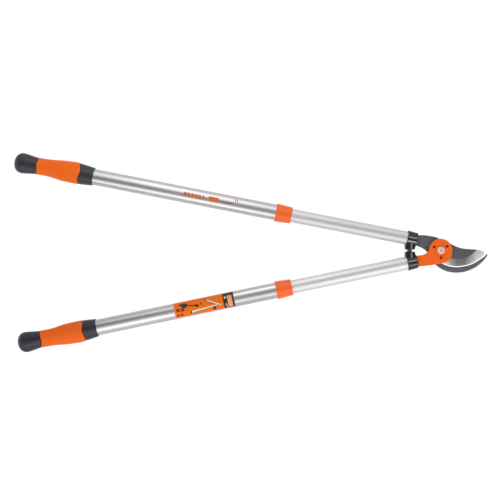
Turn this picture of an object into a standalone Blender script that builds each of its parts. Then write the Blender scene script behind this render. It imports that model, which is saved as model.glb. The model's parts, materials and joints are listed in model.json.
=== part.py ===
"""Telescopic bypass loppers, jaws closed and both handles pulled out.

Sizes are in millimetres, and MM turns them into Blender's metres. The head is laid out in the plane of
the tools' two blades: the pivot is at (0, 0), +X runs to the tips of the blades and +Y to the upper arm.
Each arm has a frame of its own on its tube's axis, where Z is the station: the distance along the tube,
from the foot of the perpendicular through the pivot towards the grip. Z = 0 is the plane between the two
blades, and the tubes' axes lie a little above it, halfway between the two tangs.
"""

import math

import bmesh
import bpy
from mathutils import Matrix, Vector

MM = 0.001
GAP = 0.3
OVERRUN = 5.0

# The whole tool
HALF_ANGLE = math.radians(11.4)
AXIS_OFFSET = 10.7
TUBE_Z = 2.0
PIVOT_FROM_CENTRE = (354.0, -0.46, 17.0)
SEGMENTS = 32
HOLE_SEGMENTS = 24
PLUG_SEGMENTS = 20
SCREW_SEGMENTS = 16

# Plates of the head: bottom and top of each
COUNTER_BLADE_Z = (-5.0, 0.0)
CUTTING_BLADE_Z = (0.3, 4.3)
BLADE_ARM_Z = (4.6, 8.6)
HUB_RADIUS = 21.8
BOSS_RADIUS = 20.5
PLATE_DRILL = 8.0
EDGE_LAND = 0.4
TIP_THICKNESS = 1.2
PLATE_EDGE = 0.5

# Tangs
TANG_FRONT = 46.0
TANG_HALF_WIDTH = 10.4
TANG_SHOULDER = 51.0
TANG_TAIL_HALF_WIDTH = 7.6
TANG_END = 105.0

# Pivot bolt, washer and nut
SHANK_RADIUS = 5.0
BOLT_HEAD = {"radius": 6.6, "height": 3.2, "chamfer": 0.7, "recess_radius": 3.1, "recess_depth": 1.2}
SHANK_END = -5.2
THREAD_RADIUS = 3.9
BOLT_END = -14.0
WASHER = {"radius": 10.0, "top": -5.5, "bottom": -6.9}
NUT = {"across_flats": 13.0, "top": -7.2, "bottom": -13.2}

# Blade screws
SCREW_CIRCLE = 13.8
SCREW_ANGLES = (32, 152, 272)
SCREW_HEAD = {"radius": 2.4, "depth": 1.3, "below_face": 0.2, "chamfer": 0.4}
SCREW_SHANK_RADIUS = 1.6
SCREW_END = 0.6

# Sockets, buffers, tang inserts and tang pins
SOCKET = {"front": 47.0, "rear": 66.0, "front_radius": 13.1, "rear_radius": 14.65, "wall": 4.7}
BLOCK_HALF_DEPTH = 8.5
BUMPER_FACE = 1.9
BUFFER = {"x": -57.6, "radius": 4.5, "inner": 0.15, "outer": 8.0}
RIB = {"x": (-2.5, 5.0), "half_width": 1.1, "height": 0.8, "root": 8.0, "from_end": 2.0}
BLOCK_RIB = {"x": -55.1, "first": 3.2, "last": 14.0}
SLOT_GAP = 0.4
INSERT_RADIUS = 11.1
INSERT_END = 110.0
PIN = {"station": 60.0, "radius": 2.5, "half_length": 12.3}

# Telescopic tubes
INNER_TUBE = {"radius": 12.6, "bore": 11.4, "front": 52.0, "rear": 370.0}
OUTER_TUBE = {"radius": 15.0, "bore": 13.8, "front": 299.0}
OUTER_TUBE_IN_GRIP = 57.0
GUIDE_BUSH = {"radius": 13.5, "front": 341.0}
COLLET = {"front": 289.0, "shoulder": 298.7, "rear": 340.4, "flange_radius": 14.3, "spigot_radius": 13.5}
COLLAR = {"front": 286.5, "rear": 316.5, "front_radius": 15.4, "rear_radius": 17.2, "round": 1.6}

# Grips: seat of the front edge on each arm, and the section at stations along the grip, as
# (distance from the front edge, half-width outwards, half-width inwards, half-height)
GRIP_SEAT = {"upper": 663.7, "lower": 659.0}
GRIP_SECTIONS = (
    (0.0, 16.9, 16.6, 16.7),
    (24.0, 20.0, 18.9, 18.8),
    (34.0, 21.1, 19.6, 19.0),
    (55.0, 20.1, 19.2, 18.4),
    (90.0, 16.2, 15.8, 15.4),
    (107.0, 15.7, 16.2, 15.3),
    (136.0, 18.8, 19.4, 18.0),
    (151.0, 19.0, 19.6, 18.2),
)
GRIP_LENGTH = 151.0
KNOB_ROUND = 16.0
KNOB_POWER = 2.2
SLEEVE_THICKNESS = 1.8
SLEEVE_STATIONS = (27.6, 34.0, 45.0, 60.0, 75.0, 90.0, 107.6)
KNOB_CLOSING = (14, 27, 39, 50, 60, 70, 80, 87)
GRIP_SEGMENTS = 24

# Instruction label on the lower outer tube
LABEL = {"front": 396.4, "rear": 509.8, "first_angle": 32, "last_angle": 168, "thickness": 0.3}

# Colour, roughness and metallic value of each finish
ORANGE_PAINT = ((0.83, 0.12, 0.02), 0.40, 0.0)
COATED_STEEL = ((0.09, 0.09, 0.11), 0.38, 0.6)
GROUND_STEEL = ((0.16, 0.16, 0.17), 0.35, 0.8)
BRIGHT_STEEL = ((0.62, 0.60, 0.60), 0.28, 1.0)
BLACK_STEEL = ((0.03, 0.03, 0.03), 0.45, 0.6)
ALUMINIUM = ((0.72, 0.72, 0.72), 0.30, 1.0)
BLACK_PLASTIC = ((0.03, 0.03, 0.035), 0.35, 0.0)
GRIP_BLACK = ((0.06, 0.06, 0.07), 0.60, 0.0)
GRIP_ORANGE = ((0.80, 0.14, 0.03), 0.65, 0.0)
COLLAR_ORANGE = ((0.84, 0.16, 0.05), 0.45, 0.0)
BROWN_RUBBER = ((0.13, 0.06, 0.06), 0.70, 0.0)
LABEL_FILM = ((0.80, 0.20, 0.06), 0.50, 0.0)

SIDES = {"upper": 1, "lower": -1}


# Scene helpers


def clear_scene():
    """Start from an empty scene with a collection for the parts and one for the cutters."""
    for obj in list(bpy.data.objects):
        bpy.data.objects.remove(obj, do_unlink=True)
    found = []
    for name in ("bypass_loppers", "cutters"):
        collection = bpy.data.collections.new(name)
        bpy.context.scene.collection.children.link(collection)
        found.append(collection)
    return found


PARTS, CUTTERS = clear_scene()


def add_frame(name, parent, location=(0, 0, 0), axes=None):
    """An empty; axes are its X, Y and Z directions in its parent."""
    frame = bpy.data.objects.new(name, None)
    frame.empty_display_size = 0.02
    PARTS.objects.link(frame)
    frame.parent = parent
    frame.location = Vector(location) * MM
    if axes:
        frame.rotation_euler = Matrix(axes).transposed().to_euler()
    return frame


def add_object(name, mesh, frame, z=0.0):
    obj = bpy.data.objects.new(name, mesh)
    PARTS.objects.link(obj)
    obj.parent = frame
    obj.location = (0, 0, z * MM)
    return obj


def paint(obj, finish):
    """Give the object a material of its own."""
    colour, roughness, metallic = finish
    material = bpy.data.materials.new(obj.name + "_finish")
    material.use_nodes = True
    shader = material.node_tree.nodes["Principled BSDF"]
    shader.inputs["Base Color"].default_value = (*colour, 1)
    shader.inputs["Roughness"].default_value = roughness
    shader.inputs["Metallic"].default_value = metallic
    obj.data.materials.clear()
    obj.data.materials.append(material)
    obj.data.shade_smooth()
    obj.data.set_sharp_from_angle(angle=math.radians(35))
    return obj


def mesh_from(bm, name):
    bmesh.ops.recalc_face_normals(bm, faces=bm.faces)
    mesh = bpy.data.meshes.new(name)
    bm.to_mesh(mesh)
    bm.free()
    return mesh


def combine(target, tool, operation):
    """Join a shape to the target or cut it out. The shape becomes a hidden helper."""
    modifier = target.modifiers.new(tool.name, "BOOLEAN")
    modifier.operation = operation
    modifier.object = tool
    PARTS.objects.unlink(tool)
    CUTTERS.objects.link(tool)
    tool.hide_render = True
    tool.display_type = "WIRE"


def cut(target, tool):
    combine(target, tool, "DIFFERENCE")


def join(target, tool):
    combine(target, tool, "UNION")


def round_edges(obj, width, segments=1):
    modifier = obj.modifiers.new("round_edges", "BEVEL")
    modifier.width = width * MM
    modifier.segments = segments
    modifier.limit_method = "ANGLE"
    modifier.angle_limit = math.radians(50)


# Shapes


def arc(radius, start, end, count, centre=(0, 0)):
    """Points along an arc, angles in degrees."""
    step = (end - start) / (count - 1)
    angles = [math.radians(start + i * step) for i in range(count)]
    return [(centre[0] + radius * math.cos(a), centre[1] + radius * math.sin(a)) for a in angles]


def smooth(points, steps=4):
    """A smooth run through the points, with this many steps to a span, ends included."""
    knots = [Vector(p) for p in points]
    knots = [2 * knots[0] - knots[1], *knots, 2 * knots[-1] - knots[-2]]
    run = []
    for a, b, c, d in zip(knots, knots[1:], knots[2:], knots[3:]):
        for i in range(steps):
            t = i / steps
            run.append(
                0.5 * ((2 * b) + (c - a) * t + (2 * a - 5 * b + 4 * c - d) * t**2)
                + 0.5 * (3 * b - a - 3 * c + d) * t**3
            )
    run.append(knots[-2])
    return [tuple(p) for p in run]


def turned(name, frame, profile, finish=None, segments=SEGMENTS):
    """A turned shape about the frame's Z. The profile is (radius, station), down its outer side first."""
    on_axis = profile[0][0] == 0
    bm = bmesh.new()
    points = [bm.verts.new((radius * MM, 0, station * MM)) for radius, station in profile]
    for a, b in zip(points, points[1:]):
        bm.edges.new((a, b))
    if not on_axis:
        bm.edges.new((points[-1], points[0]))
    mesh = bpy.data.meshes.new(name)
    bm.to_mesh(mesh)
    bm.free()
    obj = add_object(name, mesh, frame)
    screw = obj.modifiers.new("turn", "SCREW")
    screw.steps = screw.render_steps = segments
    screw.use_merge_vertices = True
    screw.merge_threshold = 0.00001
    screw.use_smooth_shade = True
    if finish:
        apply_modifiers(obj)
        paint(obj, finish)
    return obj


def apply_modifiers(obj):
    """Replace the object's mesh by what its modifiers make of it."""
    bpy.context.view_layer.update()
    evaluated = obj.evaluated_get(bpy.context.evaluated_depsgraph_get())
    mesh = bpy.data.meshes.new_from_object(evaluated)
    obj.modifiers.clear()
    obj.data = mesh


def ring_profile(outer, bore, front, rear):
    return [(outer, rear), (outer, front), (bore, front), (bore, rear)]


def rod_profile(radius, bottom, top):
    return [(0, top), (radius, top), (radius, bottom), (0, bottom)]


def plate(name, frame, outline, bottom, top, finish=None):
    """A flat plate: a filled 2D curve, extruded, then made a mesh."""
    curve = bpy.data.curves.new(name, "CURVE")
    curve.dimensions = "2D"
    curve.fill_mode = "BOTH"
    curve.extrude = (top - bottom) / 2 * MM
    spline = curve.splines.new("POLY")
    spline.points.add(len(outline) - 1)
    for point, (x, y) in zip(spline.points, outline):
        point.co = (x * MM, y * MM, 0, 1)
    spline.use_cyclic_u = True
    drawn = bpy.data.objects.new(name + "_curve", curve)
    PARTS.objects.link(drawn)
    bpy.context.view_layer.update()
    evaluated = drawn.evaluated_get(bpy.context.evaluated_depsgraph_get())
    mesh = bpy.data.meshes.new_from_object(evaluated)
    bpy.data.objects.remove(drawn)
    bm = bmesh.new()
    bm.from_mesh(mesh)
    bmesh.ops.remove_doubles(bm, verts=bm.verts, dist=0.00001)
    bmesh.ops.dissolve_limit(bm, angle_limit=0.001, verts=bm.verts, edges=bm.edges)
    obj = add_object(name, mesh_from(bm, name), frame, (bottom + top) / 2)
    if finish:
        paint(obj, finish)
    return obj


def box(name, frame, low, high):
    bm = bmesh.new()
    size = [(b - a) * MM for a, b in zip(low, high)]
    middle = Vector([(a + b) / 2 * MM for a, b in zip(low, high)])
    bmesh.ops.create_cube(bm, size=1, matrix=Matrix.Translation(middle) @ Matrix.Diagonal((*size, 1)))
    return add_object(name, mesh_from(bm, name), frame)


def cylinder(name, frame, radius, centre, length, axis="Z", segments=16):
    """A cylinder along Y or Z of its frame, about its centre."""
    bm = bmesh.new()
    turn = Matrix.Rotation(math.radians(90), 4, "X") if axis == "Y" else Matrix.Identity(4)
    matrix = Matrix.Translation(Vector(centre) * MM) @ turn
    bmesh.ops.create_cone(
        bm, cap_ends=True, segments=segments, radius1=radius * MM, radius2=radius * MM,
        depth=length * MM, matrix=matrix,
    )
    return add_object(name, mesh_from(bm, name), frame)


def loft(name, frame, rings, finish, closed=False):
    """A skin over rings of points with equal counts: a loop of rings, or one closed off by two ends."""
    bm = bmesh.new()
    rows = [[bm.verts.new(Vector(p) * MM) for p in ring] for ring in rings]
    pairs = list(zip(rows, rows[1:]))
    if closed:
        pairs.append((rows[-1], rows[0]))
    for a, b in pairs:
        for i in range(len(a)):
            j = (i + 1) % len(a)
            bm.faces.new((a[i], a[j], b[j], b[i]))
    if not closed:
        bm.faces.new(rows[0])
        bm.faces.new(rows[-1])
    return paint(add_object(name, mesh_from(bm, name), frame), finish)


# Places on an arm


def arm_directions(side):
    """Unit vectors along the arm towards the grip, and outwards across it."""
    sign = SIDES[side]
    along = Vector((-math.cos(HALF_ANGLE), sign * math.sin(HALF_ANGLE), 0))
    outwards = Vector((math.sin(HALF_ANGLE), sign * math.cos(HALF_ANGLE), 0))
    return along, outwards


def arm_point(side, station, across):
    """Head-plane coordinates of a place on the arm: station along it, outwards from the tube's axis."""
    along, outwards = arm_directions(side)
    place = along * station + outwards * (AXIS_OFFSET + across)
    return (place.x, place.y)


def tube_frame(side, pivot):
    """The arm's frame: Z along the tube to the grip, Y up, X across."""
    along, outwards = arm_directions(side)
    up = Vector((0, 0, 1))
    origin = outwards * AXIS_OFFSET + up * TUBE_Z
    return add_frame(side + "_tube_axis", pivot, origin, (up.cross(along), up, along))


def outward_sign(side):
    """The frame's X points outwards on the lower arm and inwards on the upper one."""
    return -SIDES[side]


# The head


def tang(side):
    """Outline of a tang, from its front corner on the side of the other arm to the one across."""
    corners = (
        (TANG_FRONT, TANG_HALF_WIDTH),
        (TANG_SHOULDER, TANG_HALF_WIDTH),
        (TANG_SHOULDER, TANG_TAIL_HALF_WIDTH),
        (TANG_END, TANG_TAIL_HALF_WIDTH),
    )
    near = [arm_point(side, station, -across) for station, across in corners]
    far = [arm_point(side, station, across) for station, across in reversed(corners)]
    return near + far


def drill(name, pivot, radius, plate_z, place=(0, 0), segments=16):
    """A cutter along Z that goes through a plate."""
    centre = (*place, (plate_z[0] + plate_z[1]) / 2)
    return cylinder(name, pivot, radius, centre, PLATE_DRILL, segments=segments)


def screw_places():
    return arc(SCREW_CIRCLE, SCREW_ANGLES[0], SCREW_ANGLES[-1], len(SCREW_ANGLES))


def blade_arm(pivot):
    """Orange plate with a round hub and a tang."""
    side = "lower"
    outer_edge = smooth(
        [(-25.9, -28.5), (-10.9, -26.4), (1.5, -24.2), (12.3, -20.6), (18.4, -15.0), (21.4, -7.6)], 3
    )
    inner_edge = smooth([(-20.9, 6.2), (-22.4, 0.3), (-25.3, -3.7), (-31.5, -7.6), (-38.4, -9.0)], 3)
    hub = arc(HUB_RADIUS, -12, 158, 22)
    outline = outer_edge + hub + inner_edge + tang(side)
    obj = plate("blade_arm", pivot, outline, *BLADE_ARM_Z)
    round_edges(obj, PLATE_EDGE)
    cut(obj, drill("blade_arm_bore", pivot, SHANK_RADIUS + GAP, BLADE_ARM_Z, segments=HOLE_SEGMENTS))
    head = SCREW_HEAD["radius"] + GAP
    depth = SCREW_HEAD["depth"] + SCREW_HEAD["below_face"] + GAP
    for x, y in screw_places():
        cut(obj, drill("blade_arm_screw_hole", pivot, SCREW_SHANK_RADIUS + GAP, BLADE_ARM_Z, (x, y)))
        cut(obj, cylinder("blade_arm_screw_seat", pivot, head, (x, y, BLADE_ARM_Z[1]), 2 * depth))
    cut(obj, tang_pin_hole(side, "blade_arm_pin_hole"))
    return paint(obj, ORANGE_PAINT)


def counter_blade(pivot):
    """Dark hook, its pivot plate and its tang in one piece."""
    side = "upper"
    tang_top = smooth([(-40.0, 29.0), (-28.1, 28.7), (-16.8, 27.0), (-6.8, 24.7), (2.0, 20.6)], 3)
    boss = arc(BOSS_RADIUS, 72, -30, 10)
    jaw = smooth([(20.0, -17.0), (25.0, -24.0), (33.0, -27.6), (43.6, -26.8), (56.1, -22.7),
                  (68.6, -16.2), (80.0, -10.2), (87.9, -6.4)], 3)
    tip = (89.2, -7.3)
    back = smooth([(88.9, -9.8), (86.3, -14.4), (81.9, -19.6), (69.4, -30.4), (56.9, -36.9),
                   (44.0, -41.0), (28.2, -42.0), (13.2, -39.5), (0.7, -33.6), (-8.1, -26.6),
                   (-16.0, -17.5), (-21.5, -8.0), (-25.0, -1.6), (-31.0, 3.4), (-38.7, 7.2)], 3)
    obj = plate("counter_blade", pivot, tang_top + boss + jaw + [tip] + back + tang(side), *COUNTER_BLADE_Z)
    round_edges(obj, PLATE_EDGE)
    cut(obj, drill("counter_blade_bore", pivot, SHANK_RADIUS + GAP, COUNTER_BLADE_Z, segments=HOLE_SEGMENTS))
    cut(obj, tang_pin_hole(side, "counter_blade_pin_hole"))
    return paint(obj, COATED_STEEL)


def cutting_blade(pivot):
    """Blade with a long ground bevel: the top face ends at the bevel line, and the ground face falls
    from there to a thin land along the cutting edge. Past the end of the bevel line the whole width is
    ground, and the back of the tip thins down with it."""
    edge = smooth([(0.5, -23.2), (7.4, -26.5), (18.6, -30.1), (31.1, -31.4), (43.6, -30.2),
                   (56.1, -27.3), (68.6, -21.4), (81.1, -13.3), (88.4, -7.4)], 3)
    line = smooth([(0.5, -23.2), (6.0, -17.8), (16.0, -15.0), (28.0, -14.8), (41.0, -14.4),
                   (54.0, -10.6), (68.2, 1.1)], 3)
    tip_back = smooth([(68.2, 1.1), (79.5, -1.9), (88.4, -7.4)], 3)
    back = smooth([(68.2, 1.1), (56.1, 2.0), (43.6, 3.1), (31.1, 6.5), (19.4, 12.4)], 3)
    boss = arc(BOSS_RADIUS, 42, 250, 20)
    bottom, top = CUTTING_BLADE_Z
    land = bottom + EDGE_LAND
    rail = [(x, y, top) for x, y in line]
    for i, (x, y) in enumerate(tip_back[1:], start=1):
        share = i / (len(tip_back) - 1)
        rail.append((x, y, top + (bottom + TIP_THICKNESS - top) * share))
    bm = bmesh.new()
    ground_edge = [bm.verts.new(Vector((x, y, land)) * MM) for x, y in edge]
    ground_line = [bm.verts.new(Vector(p) * MM) for p in rail]
    plain = back[1:] + boss
    plain_top = [bm.verts.new(Vector((x, y, top)) * MM) for x, y in plain]
    low_edge = [bm.verts.new(Vector((x, y, bottom)) * MM) for x, y in edge]
    low_tip = [bm.verts.new(Vector((x, y, bottom)) * MM) for x, y in tip_back[-2::-1]]
    low_plain = [bm.verts.new(Vector((x, y, bottom)) * MM) for x, y in plain]
    bm.faces.new(low_edge + low_tip + low_plain)
    corner = len(line)
    bm.faces.new(ground_line[:corner] + plain_top)
    for a, b, c, d in zip(ground_edge, ground_edge[1:], ground_line[1:], ground_line):
        bm.faces.new((a, b, c, d))
    walls_low = low_edge + low_tip + low_plain
    walls_top = ground_edge + ground_line[corner - 1:-1][::-1] + plain_top
    tip = len(edge) - 1
    heel = len(walls_low) - 1
    for i in range(len(walls_low) - 1):
        if i == tip:
            bm.faces.new((walls_low[i], walls_low[i + 1], walls_top[i + 1], ground_line[-1], walls_top[i]))
        else:
            bm.faces.new((walls_low[i], walls_low[i + 1], walls_top[i + 1], walls_top[i]))
    bm.faces.new((walls_low[heel], walls_low[0], walls_top[0], ground_line[0], walls_top[heel]))
    obj = add_object("cutting_blade", mesh_from(bm, "cutting_blade"), pivot)
    cut(obj, drill("cutting_blade_bore", pivot, SHANK_RADIUS + GAP, CUTTING_BLADE_Z, segments=HOLE_SEGMENTS))
    for place in screw_places():
        cut(obj, drill("cutting_blade_screw_hole", pivot, SCREW_SHANK_RADIUS + GAP, CUTTING_BLADE_Z, place))
    return paint(obj, GROUND_STEEL)


def blade_screws(pivot):
    head_top = BLADE_ARM_Z[1] - SCREW_HEAD["below_face"]
    head_bottom = head_top - SCREW_HEAD["depth"]
    radius, chamfer = SCREW_HEAD["radius"], SCREW_HEAD["chamfer"]
    profile = [
        (0, head_top), (radius - chamfer, head_top), (radius, head_top - chamfer), (radius, head_bottom),
        (SCREW_SHANK_RADIUS, head_bottom), (SCREW_SHANK_RADIUS, SCREW_END), (0, SCREW_END),
    ]
    for i, (x, y) in enumerate(screw_places()):
        screw = turned(f"blade_screw_{i + 1}", pivot, profile, BLACK_STEEL, segments=SCREW_SEGMENTS)
        screw.location.xy = (x * MM, y * MM)


def pivot_fasteners(pivot):
    """Shoulder bolt from above, washer and lock nut below."""
    seat = BLADE_ARM_Z[1] + GAP
    top = seat + BOLT_HEAD["height"]
    bolt = [
        (0, top - BOLT_HEAD["recess_depth"]),
        (BOLT_HEAD["recess_radius"], top - BOLT_HEAD["recess_depth"]),
        (BOLT_HEAD["recess_radius"], top),
        (BOLT_HEAD["radius"] - BOLT_HEAD["chamfer"], top),
        (BOLT_HEAD["radius"], top - BOLT_HEAD["chamfer"]),
        (BOLT_HEAD["radius"], seat),
        (SHANK_RADIUS, seat),
        (SHANK_RADIUS, SHANK_END),
        (THREAD_RADIUS, SHANK_END),
        (THREAD_RADIUS, BOLT_END),
        (0, BOLT_END),
    ]
    turned("pivot_bolt", pivot, bolt, BRIGHT_STEEL)
    hole = THREAD_RADIUS + GAP
    washer = ring_profile(WASHER["radius"], hole, WASHER["bottom"], WASHER["top"])
    turned("pivot_washer", pivot, washer, BRIGHT_STEEL)
    corner = NUT["across_flats"] / math.sqrt(3)
    hexagon = arc(corner, 0, 300, 6)
    nut = plate("pivot_nut", pivot, hexagon, NUT["bottom"], NUT["top"])
    cut(nut, drill("pivot_nut_hole", pivot, hole, (NUT["bottom"], NUT["top"]), segments=HOLE_SEGMENTS))
    paint(nut, BRIGHT_STEEL)


# The arms


def tang_slot(side, name, front, rear, half_width):
    """A box in the arm's frame that clears the tang."""
    plate_z = COUNTER_BLADE_Z if side == "upper" else BLADE_ARM_Z
    bottom, top = plate_z[0] - TUBE_Z - GAP, plate_z[1] - TUBE_Z + GAP
    return box(name, FRAMES[side], (-half_width, bottom, front), (half_width, top, rear))


def tang_pin_hole(side, name):
    centre = (0, 0, PIN["station"])
    length = 2 * (PIN["half_length"] + OVERRUN)
    return cylinder(name, FRAMES[side], PIN["radius"] + GAP, centre, length, axis="Y")


def socket(side):
    """Moulding over the tube's front end: a tapered ring and a bumper block inwards, both ribbed."""
    frame, sign = FRAMES[side], SIDES[side]
    ring = [
        (0, SOCKET["rear"]), (SOCKET["rear_radius"], SOCKET["rear"]),
        (SOCKET["front_radius"], SOCKET["front"]), (0, SOCKET["front"]),
    ]
    obj = turned(side + "_socket", frame, ring)
    apply_modifiers(obj)
    outline = [(-60.5, 22.0), (-61.5, 16.5), (-66.2, 10.9), (-66.2, BUMPER_FACE),
               (-48.7, BUMPER_FACE), (-47.4, 8.0), (-45.2, 13.5), (-46.5, 22.0)]
    block_outline = [(x, sign * y) for x, y in outline]
    block_z = (TUBE_Z - BLOCK_HALF_DEPTH, TUBE_Z + BLOCK_HALF_DEPTH)
    block = plate(side + "_socket_block", PIVOT, block_outline, *block_z)
    join(obj, block)
    half, height = RIB["half_width"], RIB["height"]
    ends = sorted((sign * BLOCK_RIB["first"], sign * BLOCK_RIB["last"]))
    low = (BLOCK_RIB["x"] - half, ends[0], TUBE_Z)
    high = (BLOCK_RIB["x"] + half, ends[1], block_z[1] + height)
    join(obj, box(side + "_socket_block_rib", PIVOT, low, high))
    for i, x in enumerate(RIB["x"]):
        top = math.sqrt(SOCKET["rear_radius"] ** 2 - x**2) + height
        low = (x - half, RIB["root"], SOCKET["front"] + RIB["from_end"])
        high = (x + half, top, SOCKET["rear"] - RIB["from_end"])
        join(obj, box(f"{side}_socket_rib_{i + 1}", frame, low, high))
    bore_front = SOCKET["front"] + SOCKET["wall"]
    bore = rod_profile(INNER_TUBE["radius"] + GAP, bore_front, SOCKET["rear"] + OVERRUN)
    cut(obj, turned(side + "_socket_bore", frame, bore))
    slot_end = bore_front + GAP
    slot_width = TANG_HALF_WIDTH + SLOT_GAP
    cut(obj, tang_slot(side, side + "_socket_slot", SOCKET["front"] - OVERRUN, slot_end, slot_width))
    middle = (BUFFER["x"], sign * BUFFER["outer"] / 2, TUBE_Z)
    pocket = cylinder(side + "_buffer_pocket", PIVOT, BUFFER["radius"] + GAP, middle,
                      BUFFER["outer"] + 2 * GAP, axis="Y", segments=PLUG_SEGMENTS)
    cut(obj, pocket)
    return paint(obj, BLACK_PLASTIC)


def buffer(side):
    """Rubber plug, proud of the bumper block, that takes the blow when the handles close."""
    length = BUFFER["outer"] - BUFFER["inner"]
    middle = (BUFFER["x"], SIDES[side] * (BUFFER["outer"] + BUFFER["inner"]) / 2, TUBE_Z)
    name = side + "_buffer"
    obj = cylinder(name, PIVOT, BUFFER["radius"], middle, length, axis="Y", segments=PLUG_SEGMENTS)
    return paint(obj, BROWN_RUBBER)


def tang_insert(side):
    """Plastic plug that fills the tube around the tang's tail."""
    frame = FRAMES[side]
    front = INNER_TUBE["front"] + GAP
    obj = turned(side + "_tang_insert", frame, rod_profile(INSERT_RADIUS, front, INSERT_END))
    apply_modifiers(obj)
    slot_width = TANG_TAIL_HALF_WIDTH + GAP
    cut(obj, tang_slot(side, side + "_insert_slot", front - OVERRUN, TANG_END + GAP, slot_width))
    cut(obj, tang_pin_hole(side, side + "_insert_pin_hole"))
    return paint(obj, BLACK_PLASTIC)


def tang_pin(side):
    centre = (0, 0, PIN["station"])
    obj = cylinder(side + "_tang_pin", FRAMES[side], PIN["radius"], centre, 2 * PIN["half_length"], axis="Y")
    return paint(obj, BRIGHT_STEEL)


def inner_tube(side):
    profile = ring_profile(INNER_TUBE["radius"], INNER_TUBE["bore"], INNER_TUBE["front"], INNER_TUBE["rear"])
    obj = turned(side + "_inner_tube", FRAMES[side], profile)
    apply_modifiers(obj)
    cut(obj, tang_pin_hole(side, side + "_tube_pin_hole"))
    return paint(obj, ALUMINIUM)


def guide_bush(side):
    """Bush on the inner tube's rear end: it runs in the outer tube, and stops at the collet."""
    bore = INNER_TUBE["radius"] + GAP
    profile = ring_profile(GUIDE_BUSH["radius"], bore, GUIDE_BUSH["front"], INNER_TUBE["rear"])
    return turned(side + "_guide_bush", FRAMES[side], profile, BLACK_PLASTIC)


def outer_tube(side):
    rear = GRIP_SEAT[side] + OUTER_TUBE_IN_GRIP
    profile = ring_profile(OUTER_TUBE["radius"], OUTER_TUBE["bore"], OUTER_TUBE["front"], rear)
    return turned(side + "_outer_tube", FRAMES[side], profile, ALUMINIUM)


def collet(side):
    """Mouth of the outer tube: a flange in front of it and a liner inside it."""
    bore = INNER_TUBE["radius"] + GAP
    profile = [
        (COLLET["spigot_radius"], COLLET["rear"]),
        (COLLET["spigot_radius"], COLLET["shoulder"]),
        (COLLET["flange_radius"], COLLET["shoulder"]),
        (COLLET["flange_radius"], COLLET["front"]),
        (bore, COLLET["front"]),
        (bore, COLLET["rear"]),
    ]
    return turned(side + "_collet", FRAMES[side], profile, BLACK_PLASTIC)


def lock_collar(side):
    """Twist collar over the collet and the outer tube's end, tapering towards the head."""
    radius = COLLAR["round"]
    rear_round = arc(radius, 80, 10, 3, (COLLAR["rear_radius"] - radius, 0))
    front_round = arc(radius, -10, -80, 3, (COLLAR["front_radius"] - radius, 0))
    outer = [(x, COLLAR["rear"] - radius + y) for x, y in rear_round]
    outer += [(x, COLLAR["front"] + radius + y) for x, y in front_round]
    lip = INNER_TUBE["radius"] + GAP
    over_flange = COLLET["flange_radius"] + GAP
    over_tube = OUTER_TUBE["radius"] + GAP
    inner = [
        (lip, COLLAR["front"]), (lip, COLLET["front"] - GAP),
        (over_flange, COLLET["front"] - GAP), (over_flange, COLLET["shoulder"]),
        (over_tube, COLLET["shoulder"]), (over_tube, COLLAR["rear"]),
    ]
    return turned(side + "_lock_collar", FRAMES[side], outer + inner, COLLAR_ORANGE)


# The grips


def grip_section(u):
    """Half-widths outwards and inwards and half-height of the grip, at this distance from its front."""
    for row, after in zip(GRIP_SECTIONS, GRIP_SECTIONS[1:]):
        if u <= after[0]:
            share = (u - row[0]) / (after[0] - row[0])
            share = share * share * (3 - 2 * share)
            return [a + (b - a) * share for a, b in zip(row[1:], after[1:])]
    return list(GRIP_SECTIONS[-1][1:])


def knob_shrink(u):
    """How far the rounded end of the knob has closed in, from 1 to 0."""
    into = max(0.0, (u - (GRIP_LENGTH - KNOB_ROUND)) / KNOB_ROUND)
    return max(0.0, 1 - into**KNOB_POWER) ** (1 / KNOB_POWER)


def grip_ring(side, u, sunk=0.0):
    """Points around the grip at this distance from its front, sunk below its surface."""
    outwards, inwards, height = grip_section(u)
    shrink = knob_shrink(u)
    sign = outward_sign(side)
    ring = []
    for i in range(GRIP_SEGMENTS):
        angle = 2 * math.pi * i / GRIP_SEGMENTS
        across = outwards if math.cos(angle) * sign > 0 else inwards
        ring.append((
            (across * shrink - sunk) * math.cos(angle),
            (height * shrink - sunk) * math.sin(angle),
            GRIP_SEAT[side] + u,
        ))
    return ring


def round_ring(side, u, radius):
    angles = [2 * math.pi * i / GRIP_SEGMENTS for i in range(GRIP_SEGMENTS)]
    return [(radius * math.cos(a), radius * math.sin(a), GRIP_SEAT[side] + u) for a in angles]


def spread(start, end, count):
    return [start + (end - start) * i / (count - 1) for i in range(count)]


def grip_core(side):
    """Hard core: front ring, a neck that the sleeve sits on, and the knob. The tube's bore is blind."""
    bore = OUTER_TUBE["radius"] + GAP
    bore_end = OUTER_TUBE_IN_GRIP + GAP
    sunk = SLEEVE_THICKNESS + GAP
    front, rear = SLEEVE_STATIONS[0] - GAP, SLEEVE_STATIONS[-1] + GAP
    rings = [round_ring(side, bore_end, bore), round_ring(side, 0, bore)]
    rings += [grip_ring(side, 0, 0.4), grip_ring(side, 0.8)]
    rings += [grip_ring(side, u) for u in spread(7, front, 3)]
    rings += [grip_ring(side, u, sunk) for u in (front, *SLEEVE_STATIONS[1:-1], rear)]
    rings += [grip_ring(side, u) for u in spread(rear, GRIP_LENGTH - KNOB_ROUND, 4)]
    closing = [math.radians(angle) for angle in KNOB_CLOSING]
    rings += [grip_ring(side, GRIP_LENGTH - KNOB_ROUND * (1 - math.sin(a))) for a in closing]
    return loft(side + "_grip_core", FRAMES[side], rings, GRIP_BLACK)


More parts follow.
